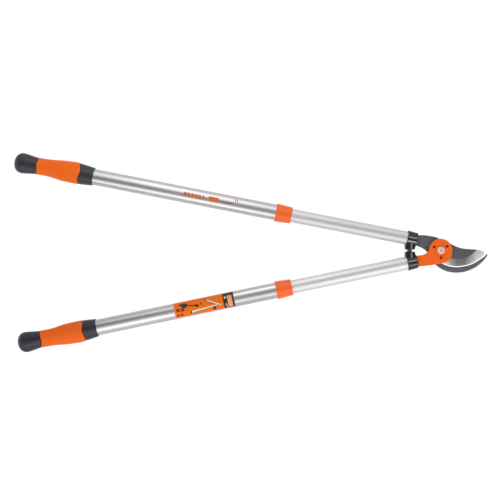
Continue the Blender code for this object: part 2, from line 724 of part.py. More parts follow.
def grip_sleeve(side):
    """Soft sleeve around the core's neck."""
    rings = [grip_ring(side, u) for u in SLEEVE_STATIONS]
    rings += [grip_ring(side, u, SLEEVE_THICKNESS) for u in reversed(SLEEVE_STATIONS)]
    return loft(side + "_grip_sleeve", FRAMES[side], rings, GRIP_ORANGE, closed=True)


def instruction_label():
    """Printed film wrapped over the top of the lower outer tube."""
    low = OUTER_TUBE["radius"] + GAP
    high = low + LABEL["thickness"]
    first, last = LABEL["first_angle"], LABEL["last_angle"]
    section = arc(high, first, last, 14) + arc(low, last, first, 14)
    rings = [[(x, y, station) for x, y in section] for station in (LABEL["front"], LABEL["rear"])]
    return loft("instruction_label", FRAMES["lower"], rings, LABEL_FILM)


CENTRE = add_frame("bypass_loppers_origin", None)
PIVOT = add_frame("pivot_axis", CENTRE, PIVOT_FROM_CENTRE)
FRAMES = {name: tube_frame(name, PIVOT) for name in SIDES}

blade_arm(PIVOT)
cutting_blade(PIVOT)
counter_blade(PIVOT)
blade_screws(PIVOT)
pivot_fasteners(PIVOT)
for arm in SIDES:
    inner_tube(arm)
    tang_insert(arm)
    tang_pin(arm)
    socket(arm)
    buffer(arm)
    guide_bush(arm)
    outer_tube(arm)
    collet(arm)
    lock_collar(arm)
    grip_core(arm)
    grip_sleeve(arm)
instruction_label()
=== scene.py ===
import json
import math

import bmesh
import bpy
from mathutils import Matrix, Vector


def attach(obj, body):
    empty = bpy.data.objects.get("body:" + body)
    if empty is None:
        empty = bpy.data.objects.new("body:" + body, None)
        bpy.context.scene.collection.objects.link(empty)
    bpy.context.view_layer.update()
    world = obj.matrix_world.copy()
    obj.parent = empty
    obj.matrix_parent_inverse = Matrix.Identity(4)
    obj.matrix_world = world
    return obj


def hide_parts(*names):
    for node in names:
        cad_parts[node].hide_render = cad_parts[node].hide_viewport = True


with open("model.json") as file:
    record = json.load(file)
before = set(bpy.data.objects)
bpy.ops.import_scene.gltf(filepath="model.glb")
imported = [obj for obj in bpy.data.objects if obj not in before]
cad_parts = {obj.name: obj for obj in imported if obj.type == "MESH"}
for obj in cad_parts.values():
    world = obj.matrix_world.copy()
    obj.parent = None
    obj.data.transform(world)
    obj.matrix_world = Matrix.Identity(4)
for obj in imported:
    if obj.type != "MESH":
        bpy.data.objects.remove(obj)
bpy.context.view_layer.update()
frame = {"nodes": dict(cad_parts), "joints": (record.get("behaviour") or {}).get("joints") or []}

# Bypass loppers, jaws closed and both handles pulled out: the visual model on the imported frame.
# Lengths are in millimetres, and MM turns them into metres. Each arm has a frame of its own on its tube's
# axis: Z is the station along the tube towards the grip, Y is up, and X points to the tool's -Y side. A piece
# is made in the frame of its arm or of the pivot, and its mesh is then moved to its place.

MM = 0.001
SIDES = {"upper": 1, "lower": -1}
JOINTS = {joint["name"]: joint for joint in frame["joints"]}
PIVOT_PLACE = Vector(JOINTS["jaw_pivot"]["pos_m"])
PIVOT = Matrix.Translation(PIVOT_PLACE)


def arm_matrix(side):
    """The arm's frame, from the joints of its tube."""
    along = -Vector(JOINTS[side + "_telescope"]["axis"]).normalized()
    place = Vector(JOINTS[side + "_collar_twist"]["pos_m"])
    foot = place + along * (PIVOT_PLACE - place).dot(along)
    up = Vector((0, 0, 1))
    turn = Matrix((up.cross(along), up, along)).transposed().to_4x4()
    return Matrix.Translation(foot) @ turn


ARMS = {side: arm_matrix(side) for side in SIDES}
TUBE_Z = (ARMS["upper"].translation.z - PIVOT_PLACE.z) / MM


def reach(node, matrix):
    """Lowest and highest corner of a CAD node in a frame, and its least and greatest radius about Z."""
    inverse = matrix.inverted()
    points = [inverse @ vertex.co / MM for vertex in frame["nodes"][node].data.vertices]
    low = Vector([min(p[i] for p in points) for i in range(3)])
    high = Vector([max(p[i] for p in points) for i in range(3)])
    radii = [math.hypot(p.x, p.y) for p in points]
    return low, high, min(radii), max(radii)


def station(side, s, x=0):
    """A place in the plane of the head, from a station on an arm and the distance across it."""
    place = PIVOT.inverted() @ (ARMS[side] @ Vector((x * MM, 0, s * MM)))
    return (place.x / MM, place.y / MM)


# A socket's tapered ring, the height of its bumper block over the tube's axis, and its ribs: their places
# across the ring, the place of the one on the block, their half width and their height
RING = {"front": 47, "rear": 66, "front_radius": 13.1, "rear_radius": 14.65}
BLOCK_TOP = 8.5
RIBS = {"ring": (-2.5, 5), "block": -55.1, "half": 1.4, "height": 0.8}


# Materials


class Finish:
    """A procedural material. Each call adds a node and returns its output."""

    def __init__(self, name, matrix=None, **constants):
        self.material = bpy.data.materials.new(name)
        self.material.use_nodes = True
        self.nodes = self.material.node_tree.nodes
        self.links = self.material.node_tree.links
        self.shader = self.nodes["Principled BSDF"]
        for key, value in constants.items():
            self.put(key.replace("_", " ").title().replace("Ior", "IOR"), value)
        self.normal = None
        self.frame = matrix or Matrix.Identity(4)

    def feed(self, socket, value):
        if isinstance(value, bpy.types.NodeSocket):
            self.links.new(value, socket)
        else:
            socket.default_value = value

    def put(self, key, value):
        self.feed(self.shader.inputs[key], value)

    def surface(self, colour, roughness):
        self.put("Base Color", colour)
        self.put("Roughness", roughness)

    def add(self, kind, inputs, **settings):
        node = self.nodes.new("ShaderNode" + kind)
        for key, value in settings.items():
            setattr(node, key, value)
        for key, value in inputs.items():
            self.feed(node.inputs[key], value)
        return node

    def place(self, stretch=(1, 1, 1)):
        """Coordinates in the material's frame, in metres, stretched."""
        coordinates = self.add("TexCoord", {}).outputs["Object"]
        scale = [1 / factor for factor in stretch]
        inputs = {"Vector": coordinates, "Scale": scale, "Location": self.frame.translation,
                  "Rotation": self.frame.to_euler()}
        return self.add("Mapping", inputs, vector_type="TEXTURE").outputs["Vector"]

    def noise(self, size, stretch=(1, 1, 1), detail=2, vector=None):
        """Noise with features of this size in mm, as a value around 0.5."""
        vector = vector or self.place(stretch)
        inputs = {"Vector": vector, "Scale": 1 / (size * MM), "Detail": detail}
        return self.add("TexNoise", inputs).outputs["Fac"]

    def cells(self, size, stretch=(1, 1, 1)):
        inputs = {"Vector": self.place(stretch), "Scale": 1 / (size * MM)}
        return self.add("TexVoronoi", inputs).outputs["Distance"]

    def axes(self):
        """X, Y and Z in the material's frame."""
        return self.add("SeparateXYZ", {"Vector": self.place()}).outputs

    def radius(self, axes):
        """Distance from the frame's Z axis."""
        flat = self.add("CombineXYZ", {"X": axes["X"], "Y": axes["Y"]}).outputs["Vector"]
        return self.add("VectorMath", {0: flat}, operation="LENGTH").outputs["Value"]

    def span(self, value, low, high, to_low, to_high):
        inputs = {"Value": value, "From Min": low, "From Max": high, "To Min": to_low, "To Max": to_high}
        return self.add("MapRange", inputs).outputs["Result"]

    def maths(self, operation, a, b=0):
        return self.add("Math", {0: a, 1: b}, operation=operation).outputs[0]

    def distance(self, value, centre):
        return self.maths("ABSOLUTE", self.maths("SUBTRACT", value, centre))

    def vary(self, value, low, high):
        """Stretch the middle of a noise to run from low to high."""
        return self.span(value, 0.3, 0.7, low, high)

    def blend(self, share, a, b):
        """Mix two colours, each a tuple or another node's output."""
        a, b = ((*colour, 1) if isinstance(colour, tuple) else colour for colour in (a, b))
        return self.add("Mix", {0: share, 6: a, 7: b}, data_type="RGBA").outputs[2]

    def shades(self, value, colour, low, high):
        """A colour that varies with a noise, from low to high times itself."""
        return self.blend(self.vary(value, 0, 1), tinted(colour, low), tinted(colour, high))

    def multiply(self, colour, value):
        return self.add("VectorMath", {0: colour, 1: value}, operation="MULTIPLY").outputs[0]

    def ramp(self, value, stops):
        node = self.add("ValToRGB", {"Fac": value})
        elements = node.color_ramp.elements
        while len(elements) < len(stops):
            elements.new(0.5)
        for element, (position, colour) in zip(elements, stops):
            element.position = position
            element.color = (*colour, 1) if isinstance(colour, tuple) else (colour, colour, colour, 1)
        return node.outputs["Color"]

    def bump(self, height, depth, strength=1):
        """Raise the surface by up to this many mm."""
        inputs = {"Height": height, "Distance": depth * MM, "Strength": strength}
        if self.normal:
            inputs["Normal"] = self.normal
        self.normal = self.add("Bump", inputs).outputs["Normal"]
        self.put("Normal", self.normal)


def tinted(colour, factor):
    return tuple(min(1, c * factor) for c in colour)


def aluminium(name, side, colour, roughness):
    """Drawn and anodised tube: fine lines along it, and soft patches where hands dull it."""
    finish = Finish(f"{side}_{name}", ARMS[side], metallic=1)
    lines = finish.noise(0.25, (1, 1, 0.004), 3)
    broad = finish.noise(1.6, (1, 1, 0.01), 2)
    patches = finish.noise(45, (1, 1, 0.5), 2)
    shade = finish.shades(lines, colour, 0.95, 1.04)
    wear_and_painted_highlight = finish.span(broad, 0.35, 0.65, 0, 0.5)
    finish.put("Base Color", finish.blend(wear_and_painted_highlight, shade, tinted(colour, 0.97)))
    fine, soft = finish.vary(lines, -0.04, 0.04), finish.vary(patches, -0.03, 0.03)
    finish.put("Roughness", finish.maths("ADD", finish.maths("ADD", fine, soft), roughness))
    finish.bump(lines, 0.006)
    finish.bump(broad, 0.005)
    return finish.material


def powder_coat(name, colour):
    """Sprayed enamel with orange peel and a slightly uneven gloss."""
    finish = Finish(name, specular_ior_level=0.28)
    peel = finish.noise(1.4, detail=1)
    dust = finish.noise(0.25, detail=2)
    cloud = finish.noise(14, detail=2)
    finish.surface(finish.shades(cloud, colour, 0.96, 1.04), finish.vary(dust, 0.36, 0.46))
    finish.bump(peel, 0.04)
    finish.bump(dust, 0.006)
    return finish.material


def coated_steel(name, colour, metallic=0.5):
    """Steel under a thin low-friction coating: a fine speckle, and mottled gloss."""
    finish = Finish(name, metallic=metallic)
    speckle = finish.noise(0.35, detail=3)
    mottle = finish.noise(6, detail=3)
    shade = finish.shades(speckle, colour, 0.86, 1.14)
    pale = finish.span(mottle, 0.35, 0.7, 0, 0.35)
    finish.surface(finish.blend(pale, shade, tinted(colour, 1.2)), finish.vary(mottle, 0.38, 0.5))
    finish.bump(speckle, 0.014)
    return finish.material


def ground_steel_with_painted_reflection(name, colour, roughness, along=((0, 1), (1, 1))):
    """Ground face: grinding marks square to the cutting edge. The UV map is metres along and across it, and
    the pairs give a painted reflection: how light the face is painted at shares of the edge's length,
    standing in for the light and shade it reflects."""
    finish = Finish(name, metallic=1)
    place = finish.add("UVMap", {}, uv_map="grind").outputs["UV"]
    stretched = finish.add("Mapping", {"Vector": place, "Scale": (1, 0.03, 1)}).outputs["Vector"]
    marks = finish.noise(0.22, detail=3, vector=stretched)
    broad = finish.noise(2.5, detail=2, vector=stretched)
    share = finish.add("SeparateXYZ", {"Vector": place}).outputs["X"]
    share = finish.span(share, 0, EDGE_LENGTH * MM, 0, 1)
    # Painted reflection: the base colour runs lighter and darker along the edge, in place of the light the
    # bevel reflects
    painted_reflection_tone = finish.ramp(share, [(at, tinted(colour, level)) for at, level in along])
    shade = finish.multiply(painted_reflection_tone, finish.vary(marks, 0.87, 1.08))
    finish.surface(finish.multiply(shade, finish.span(broad, 0.35, 0.65, 1.03, 0.93)),
                   finish.vary(marks, roughness - 0.05, roughness + 0.07))
    finish.bump(marks, 0.01)
    finish.bump(broad, 0.02)
    return finish.material


def turned_steel(name, colour, roughness, metallic=1, matrix=PIVOT):
    """Plated steel with faint turning rings about Z of the frame."""
    finish = Finish(name, matrix, metallic=metallic)
    outwards = finish.add("CombineXYZ", {"X": finish.radius(finish.axes())}).outputs["Vector"]
    rings = finish.noise(0.3, detail=2, vector=outwards)
    spots = finish.noise(1.2, detail=3)
    finish.surface(finish.shades(spots, colour, 0.92, 1.05),
                   finish.vary(spots, roughness - 0.05, roughness + 0.06))
    finish.bump(rings, 0.015)
    return finish.material


def plastic(name, colour, roughness, grain=0.3, depth=0.012, specular=0.5, variation=0.05):
    """Moulded plastic or rubber with a spark-eroded grain."""
    finish = Finish(name, specular_ior_level=specular)
    fine = finish.noise(grain, detail=2)
    pits = finish.cells(grain * 2.2)
    cloud = finish.noise(11, detail=3)
    finish.surface(finish.shades(cloud, colour, 1 - variation, 1 + variation),
                   finish.vary(cloud, roughness - 0.04, roughness + 0.04))
    finish.bump(fine, depth)
    finish.bump(pits, depth)
    return finish.material


def ribbed_plastic_with_painted_highlights(side, painted_highlight_colour, highlight_shares):
    """Glossy moulded plastic of a socket. The crests of its ribs are painted a satin grey, a painted
    highlight where glints of light would lie, each as strongly as the shares in the last argument say: the
    ring's two and the block's."""
    finish = Finish(side + "_ribbed_plastic_with_painted_highlights", ARMS[side], specular_ior_level=0.5)
    on_arm = finish.axes()
    taper = [RING[key] * MM for key in ("front", "rear", "front_radius", "rear_radius")]
    height = finish.maths("SUBTRACT", finish.radius(on_arm), finish.span(on_arm["Z"], *taper))
    raised = finish.span(height, 0.35 * MM, 0.65 * MM, 0, 1)
    beside = finish.maths("MINIMUM", *(finish.distance(on_arm["X"], x * MM) for x in RIBS["ring"]))
    inner, outer = (RIBS["half"] - 0.3) * MM, (RIBS["half"] + 0.1) * MM
    ring = finish.maths("MULTIPLY", raised, finish.span(beside, inner, outer, 1, 0))
    first, second = (x * MM for x in RIBS["ring"])
    ring = finish.maths("MULTIPLY", ring, finish.span(on_arm["X"], first, second, *highlight_shares[:2]))
    finish.frame = PIVOT
    on_head = finish.axes()
    beside = finish.distance(on_head["X"], RIBS["block"] * MM)
    level = (TUBE_Z + BLOCK_TOP) * MM
    raised = finish.span(on_head["Z"], level + 0.35 * MM, level + 0.65 * MM, 0, 1)
    inward = finish.span(finish.maths("ABSOLUTE", on_head["Y"]), 13.4 * MM, 14 * MM, highlight_shares[2], 0)
    block = finish.maths("MULTIPLY", raised, finish.span(beside, inner, outer, 1, 0))
    block = finish.maths("MULTIPLY", block, inward)
    fine = finish.noise(0.25, detail=2)
    cloud = finish.noise(1.4, detail=3)
    crests = finish.maths("MAXIMUM", ring, block)
    # Painted highlight: the rib crests are painted a lighter grey, in soft clouds
    wear_and_painted_highlight = finish.maths("MULTIPLY", crests, finish.span(cloud, 0.3, 0.6, 0.8, 1))
    black = (0.008, 0.008, 0.011)
    finish.surface(finish.blend(wear_and_painted_highlight, black, painted_highlight_colour), finish.span(wear_and_painted_highlight, 0, 1, 0.22, 0.32))
    finish.bump(fine, 0.008)
    finish.bump(cloud, 0.01)
    return finish.material


def ink(name, colour, roughness=0.42, specular=0.4):
    """Printed ink: a screen of fine dots in a thin, slightly uneven layer."""
    finish = Finish(name, specular_ior_level=specular)
    dots = finish.cells(0.22)
    cloud = finish.noise(5, detail=3)
    shade = finish.blend(finish.span(dots, 0, 0.6, 0, 1), tinted(colour, 1.03), tinted(colour, 0.94))
    finish.surface(finish.blend(finish.vary(cloud, 0, 0.4), shade, tinted(colour, 1.06)),
                   finish.vary(cloud, roughness - 0.05, roughness + 0.05))
    finish.bump(dots, 0.002)
    return finish.material


EDGE_LENGTH = 98


def in_pair(name, upper, lower, *rest):
    """One plastic in a colour for each arm, so that one arm's copy can carry painted shade."""
    return {side: plastic(f"{side}_{name}", colour, *rest) for side, colour in zip(SIDES, (upper, lower))}


OUTER_ALUMINIUM = {side: aluminium("outer_aluminium", side, (0.57, 0.565, 0.556), 0.27) for side in SIDES}
# Painted light: the lower inner tube is painted a little lighter than the upper one, as the light falls on it
INNER_ALUMINIUM = {"upper": aluminium("inner_aluminium", "upper", (0.70, 0.685, 0.685), 0.51),
                   "lower": aluminium("inner_aluminium", "lower", (0.76, 0.742, 0.742), 0.51)}
ORANGE_PAINT = powder_coat("orange_powder_coat", (0.94, 0.134, 0.005))
HOOK_COATING = coated_steel("hook_coating", (0.139, 0.146, 0.174))
BLADE_COATING = coated_steel("blade_coating", (0.118, 0.116, 0.134))
# Painted reflection along the bevel: darker in its middle, brightest near the tip
GROUND_STEEL_WITH_PAINTED_REFLECTION = ground_steel_with_painted_reflection("ground_steel_with_painted_reflection", (0.62, 0.60, 0.59), 0.30, (
    (0, 0.7), (0.16, 0.62), (0.33, 0.265), (0.48, 0.26), (0.62, 0.64), (0.75, 1.13), (0.9, 1.32),
    (1, 1.1)))
# The honed edge: partly a real polished face, partly a painted highlight, its colour lighter than steel to
# show the bright line along the edge
EDGE_STEEL = ground_steel_with_painted_reflection("edge_steel", (0.95, 0.93, 0.91), 0.35)
BRIGHT_STEEL = turned_steel("nickel_plate", (0.93, 0.81, 0.71), 0.34, 0.5)
BLUE_ZINC = turned_steel("blue_zinc", (0.58, 0.75, 0.88), 0.38, 0.5)
# Painted highlights on the rib crests: lighter grey on the upper socket than on the lower, and of a different
# strength on each rib, as the light falls on them
SOCKET_PLASTIC_WITH_PAINTED_HIGHLIGHTS = {"upper": ribbed_plastic_with_painted_highlights("upper", (0.56, 0.54, 0.57), (0.45, 1, 0.45)),
                  "lower": ribbed_plastic_with_painted_highlights("lower", (0.32, 0.315, 0.34), (0.9, 0.8, 0.7))}
INNER_PLASTIC = plastic("acetal", (0.05, 0.05, 0.055), 0.4, 0.2, 0.006)
BROWN_RUBBER = plastic("brown_rubber", (0.30, 0.085, 0.085), 0.6, 0.3, 0.02, 0.35)
COLLAR_ORANGE = plastic("collar_orange", (0.95, 0.134, 0.008), 0.32, 0.3, 0.012, 0.5, 0.03)
# Painted shade: beside the grips the tent is brighter on the -Y side, so the lower grip's copies of the same
# plastics are painted a little darker
GRIP_BLACK = in_pair("grip_black", (0.021, 0.021, 0.031), (0.013, 0.013, 0.021), 0.37, 0.35, 0.02, 0.5, 0.15)
GRIP_ORANGE = in_pair("grip_orange", (0.95, 0.148, 0.006), (0.84, 0.126, 0.005), 0.58, 0.4, 0.03, 0.22, 0.03)
LABEL_FILM = ink("label_film", (0.90, 0.165, 0.003), 0.4, 0.16)
DARK_INK = ink("dark_ink", (0.022, 0.016, 0.016))
BROWN_INK = ink("brown_ink", (0.16, 0.035, 0.008))
CREAM_INK = ink("cream_ink", (0.84, 0.74, 0.56))
PEACH_INK = ink("peach_ink", (0.86, 0.36, 0.16))
TUBE_INK = ink("tube_ink", (0.62, 0.14, 0.03))
RULE_INK = ink("rule_ink", (0.30, 0.10, 0.08))
PALE_INK = ink("pale_ink", (0.90, 0.90, 0.92))
# Grey for the painted shade beside the tick on the upper tube
TICK_PAINTED_SHADE = ink("tick_painted_shade_grey", (0.12, 0.12, 0.14))


# Shapes


def add_piece(name, mesh, matrix, material, body, slot, *nodes, crisp=True):
    """Put a mesh made in a frame in the scene as a piece of the object, on its body."""
    mesh.transform(matrix)
    obj = bpy.data.objects.new(name, mesh)
    bpy.context.scene.collection.objects.link(obj)
    if material:
        mesh.materials.clear()
        mesh.materials.append(material)
    mesh.shade_smooth()
    if crisp:
        mesh.set_sharp_from_angle(angle=math.radians(40))
        weighted = obj.modifiers.new("weighted_normals", "WEIGHTED_NORMAL")
        weighted.keep_sharp = True
    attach(obj, body)
    if nodes:
        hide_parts(*nodes)
    return obj


def mesh_from(bm, name, face_out=True):
    if face_out:
        bmesh.ops.recalc_face_normals(bm, faces=bm.faces)
    mesh = bpy.data.meshes.new(name)
    bm.to_mesh(mesh)
    bm.free()
    return mesh


def helper(mesh):
    """A loose object around a mesh, for a boolean."""
    obj = bpy.data.objects.new(mesh.name, mesh)
    bpy.context.scene.collection.objects.link(obj)
    return obj


def shaped(mesh, *steps):
    """Boolean a mesh with others in turn, or remesh and smooth it. Each step is (operation, mesh or size)."""
    target = helper(mesh)
    tools = []
    for operation, value in steps:
        if operation == "REMESH":
            modifier = target.modifiers.new("remesh", "REMESH")
            modifier.mode = "VOXEL"
            modifier.voxel_size = value * MM
        elif operation == "SMOOTH":
            modifier = target.modifiers.new("smooth", "SMOOTH")
            modifier.factor = 0.5
            modifier.iterations = value
        else:
            tool = helper(value)
            tools.append(tool)
            modifier = target.modifiers.new("combine", "BOOLEAN")
            modifier.operation = operation
            modifier.solver = "EXACT"
            modifier.material_mode = "TRANSFER"
            modifier.object = tool
    bpy.context.view_layer.update()
    evaluated = target.evaluated_get(bpy.context.evaluated_depsgraph_get())
    result = bpy.data.meshes.new_from_object(evaluated)
    for obj in (target, *tools):
        bpy.data.objects.remove(obj)
    return result


def anticlockwise(outline):
    area = sum(a[0] * b[1] - b[0] * a[1] for a, b in zip(outline, outline[1:] + outline[:1]))
    return outline if area > 0 else outline[::-1]


def rect(low_x, high_x, low_y, high_y):
    return [(low_x, low_y), (high_x, low_y), (high_x, high_y), (low_x, high_y)]


def cut(*tools):
    """Steps that take meshes away."""
    return [("DIFFERENCE", tool) for tool in tools]


def arc(radius, start, end, count, centre=(0, 0)):
    """Points along an arc, angles in degrees."""
    step = (end - start) / (count - 1)
    angles = [math.radians(start + i * step) for i in range(count)]
    return [(centre[0] + radius * math.cos(a), centre[1] + radius * math.sin(a)) for a in angles]


def smooth(points, steps=10):
    """A smooth run through the points, ends included."""
    knots = [Vector(p) for p in points]
    knots = [2 * knots[0] - knots[1], *knots, 2 * knots[-1] - knots[-2]]
    run = []
    for a, b, c, d in zip(knots, knots[1:], knots[2:], knots[3:]):
        for i in range(steps):
            t = i / steps
            run.append(
                0.5 * ((2 * b) + (c - a) * t + (2 * a - 5 * b + 4 * c - d) * t**2)
                + 0.5 * (3 * b - a - 3 * c + d) * t**3
            )
    run.append(knots[-2])
    return [tuple(p) for p in run]


def evenly(points, count):
    """The same run as this many points at equal distances."""
    points = [Vector(p) for p in points]
    lengths = [0]
    for a, b in zip(points, points[1:]):
        lengths.append(lengths[-1] + (b - a).length)
    found = []
    span = 0
    for i in range(count):
        wanted = lengths[-1] * i / (count - 1)
        while span < len(points) - 2 and lengths[span + 1] < wanted:
            span += 1
        share = (wanted - lengths[span]) / (lengths[span + 1] - lengths[span])
        found.append(points[span].lerp(points[span + 1], share))
    return found


def rounded(corners, radius, steps=4, closed=True):
    """An outline with its corners turned into arcs. A corner may carry its own radius as a third number."""
    result = []
    count = len(corners)
    for i, corner in enumerate(corners):
        own = corner[2] if len(corner) > 2 else radius
        here = Vector(corner[:2])
        if own == 0 or (not closed and i in (0, count - 1)):
            result.append(tuple(here))
            continue
        before, after = Vector(corners[i - 1][:2]) - here, Vector(corners[(i + 1) % count][:2]) - here
        half = before.angle(after) / 2
        reach_back = min(own / math.tan(half), 0.49 * before.length, 0.49 * after.length)
        own = reach_back * math.tan(half)
        centre = here + (before.normalized() + after.normalized()).normalized() * (own / math.sin(half))
        first = here + before.normalized() * reach_back - centre
        turn = first.angle_signed(here + after.normalized() * reach_back - centre)
        for j in range(steps + 1):
            spoke = first.copy()
            spoke.rotate(Matrix.Rotation(-turn * j / steps, 2))
            result.append(tuple(centre + spoke))
    return result


def whole_turn(count):
    """Angles all the way round."""
    return [2 * math.pi * i / count for i in range(count)]


def join_rings(bm, a, b):
    """Faces between two rings of points. Either may be a single point."""
    count = max(len(a), len(b))
    if count == 1:
        return
    for i in range(count):
        j = (i + 1) % count
        corners = [a[i % len(a)], a[j % len(a)], b[j % len(b)], b[i % len(b)]]
        if len(a) == 1:
            corners.pop(1)
        if len(b) == 1:
            corners.pop()
        bm.faces.new(corners)


def skin(name, rings, closed=False):
    """A surface over rings of points in metres, as a loop of rings or closed off by its two ends."""
    bm = bmesh.new()
    rows = [[bm.verts.new(point) for point in ring] for ring in rings]
    pairs = list(zip(rows, rows[1:]))
    if closed:
        pairs.append((rows[-1], rows[0]))
    for a, b in pairs:
        join_rings(bm, a, b)
    for end in () if closed else (rows[0], rows[-1]):
        if len(end) > 1:
            bm.faces.new(end)
    return mesh_from(bm, name)


def lathe(name, profile, segments=96):
    """Turn a profile of (radius, station) about Z. It starts and ends on the axis, or else is closed."""
    rings = []
    for radius, z in profile:
        angles = whole_turn(segments) if radius > 1e-6 else [0]
        rings.append([Vector((radius * math.cos(a), radius * math.sin(a), z)) * MM for a in angles])
    return skin(name, rings, closed=profile[0][0] > 1e-6)


def quarter(radius, steps):
    """Places round a quarter turn, as distances back from one side and down from the other."""
    angles = [math.pi / 2 * i / steps for i in range(steps + 1)]
    return [(radius * (1 - math.cos(a)), radius * (1 - math.sin(a))) for a in angles]


def inset(outline, distance):
    """An outline moved inwards. The outline runs anticlockwise."""
    points = [Vector(p) for p in outline]
    moved = []
    for before, here, after in zip(points[-1:] + points[:-1], points, points[1:] + points[:1]):
        first = (here - before).normalized()
        second = (after - here).normalized()
        normals = Vector((first.y, -first.x)), Vector((second.y, -second.x))
        spread = max(0.4, 1 + normals[0].dot(normals[1]))
        moved.append(tuple(here - (normals[0] + normals[1]) * (distance / spread)))
    return moved


def plate(name, outline, bottom, top, edge=0, steps=3):
    """A flat plate with rounded edges. The outline runs anticlockwise."""
    levels = [(0, bottom), (0, top)]
    if edge:
        upper = quarter(edge, steps)
        levels = [(back, bottom + down) for back, down in reversed(upper)]
        levels += [(back, top - down) for back, down in upper]
    rings = []
    for back, z in levels:
        shape = inset(outline, back) if back else outline
        rings.append([(x * MM, y * MM, z * MM) for x, y in shape])
    return skin(name, rings)


def peg(radius, place, bottom, top, segments=48, flare=0, flare_at=0):
    """A cylinder along Z for a hole, with its mouth flared at one level."""
    profile = [(0, top), (radius, top), (radius, bottom), (0, bottom)]
    if flare:
        profile = [(0, flare_at + flare), (radius + 2 * flare, flare_at + flare), (radius, flare_at - flare),
                   (radius, bottom), (0, bottom)]
    mesh = lathe("peg", profile, segments)
    mesh.transform(Matrix.Translation((place[0] * MM, place[1] * MM, 0)))
    return mesh


def hexagon(radius, bottom, top):
    return plate("hexagon", arc(radius, 0, 300, 6), bottom, top)


def ramp_between(value, low, high):
    share = min(1, max(0, (value - low) / (high - low)))
    return share * share * (3 - 2 * share)


# The head: outlines about the pivot, X to the tips and Y to the upper arm

COUNTER_BLADE_Z = (-5, 0)
CUTTING_BLADE_Z = (0.3, 4.3)
BLADE_ARM_Z = (4.6, 8.6)
TANG_FRONT, TANG_SHOULDER, TANG_END = 46, 51, 105
TANG_HALF_WIDTH, TANG_TAIL_HALF_WIDTH = 10.4, 7.6
BORE_RADIUS = 5.3
SCREWS = arc(13.8, 32, 272, 3)


def tang(side):
    """The tang's outline, from its front corner nearest the other arm to the one across. It ends inside the
    tube."""
    inner = -1 if side == "lower" else 1
    corners = [
        (TANG_FRONT, TANG_HALF_WIDTH), (TANG_SHOULDER, TANG_HALF_WIDTH),
        (TANG_SHOULDER, TANG_TAIL_HALF_WIDTH), (TANG_END, TANG_TAIL_HALF_WIDTH),
    ]
    near = [station(side, s, inner * across) for s, across in corners]
    far = [station(side, s, -inner * across) for s, across in reversed(corners)]
    return near + far


def blade_arm():
    outer_edge = smooth(
        [(-25.9, -28.5), (-10.9, -26.4), (1.5, -24.2), (12.3, -20.6), (18.4, -15), (21.4, -7.6)], 8
    )
    inner_edge = smooth([(-20.9, 6.2), (-22.4, 0.3), (-25.3, -3.7), (-31.5, -7.6), (-38.4, -9)], 8)
    mesh = plate("blade_arm_plate", outer_edge + arc(21.8, -12, 158, 60) + inner_edge + tang("lower"),
                 *BLADE_ARM_Z, edge=0.5)
    steps = cut(peg(BORE_RADIUS, (0, 0), 0, 20))
    for place in SCREWS:
        steps += cut(peg(1.9, place, 0, 20, 24), peg(2.7, place, 6.8, 20, 32, 0.2, BLADE_ARM_Z[1]))
    mesh = shaped(mesh, *steps)
    add_piece("painted_arm", mesh, PIVOT, ORANGE_PAINT, "lower_arm", "orange_paint", "blade_arm")


def counter_blade():
    tang_top = smooth([(-40, 29), (-28.1, 28.7), (-16.8, 27), (-6.8, 24.7), (2, 20.6)], 6)
    boss = arc(20.5, 72, -30, 28)
    jaw = smooth([(20, -17), (25, -24), (33, -27.6), (43.6, -26.8), (56.1, -22.7),
                  (68.6, -16.2), (80, -10.2), (87.8, -6.3)], 8)
    tip = rounded([(87.8, -6.3), (89.1, -7), (88.9, -9.8)], 0.6, closed=False)[1:-1]
    back = smooth([(88.9, -9.8), (86.3, -14.4), (81.9, -19.6), (69.4, -30.4), (56.9, -36.9),
                   (44, -41), (28.2, -42), (13.2, -39.5), (0.7, -33.6), (-8.1, -26.6),
                   (-16, -17.5), (-21.5, -8), (-25, -1.6), (-31, 3.4), (-38.7, 7.2)], 8)
    outline = (tang_top + boss + jaw + tip + back + tang("upper"))[::-1]
    mesh = plate("counter_blade_plate", outline, *COUNTER_BLADE_Z, edge=0.7, steps=4)
    mesh = shaped(mesh, *cut(peg(BORE_RADIUS, (0, 0), -20, 20)))
    add_piece("hook", mesh, PIVOT, HOOK_COATING, "upper_arm", "coated_steel", "counter_blade")


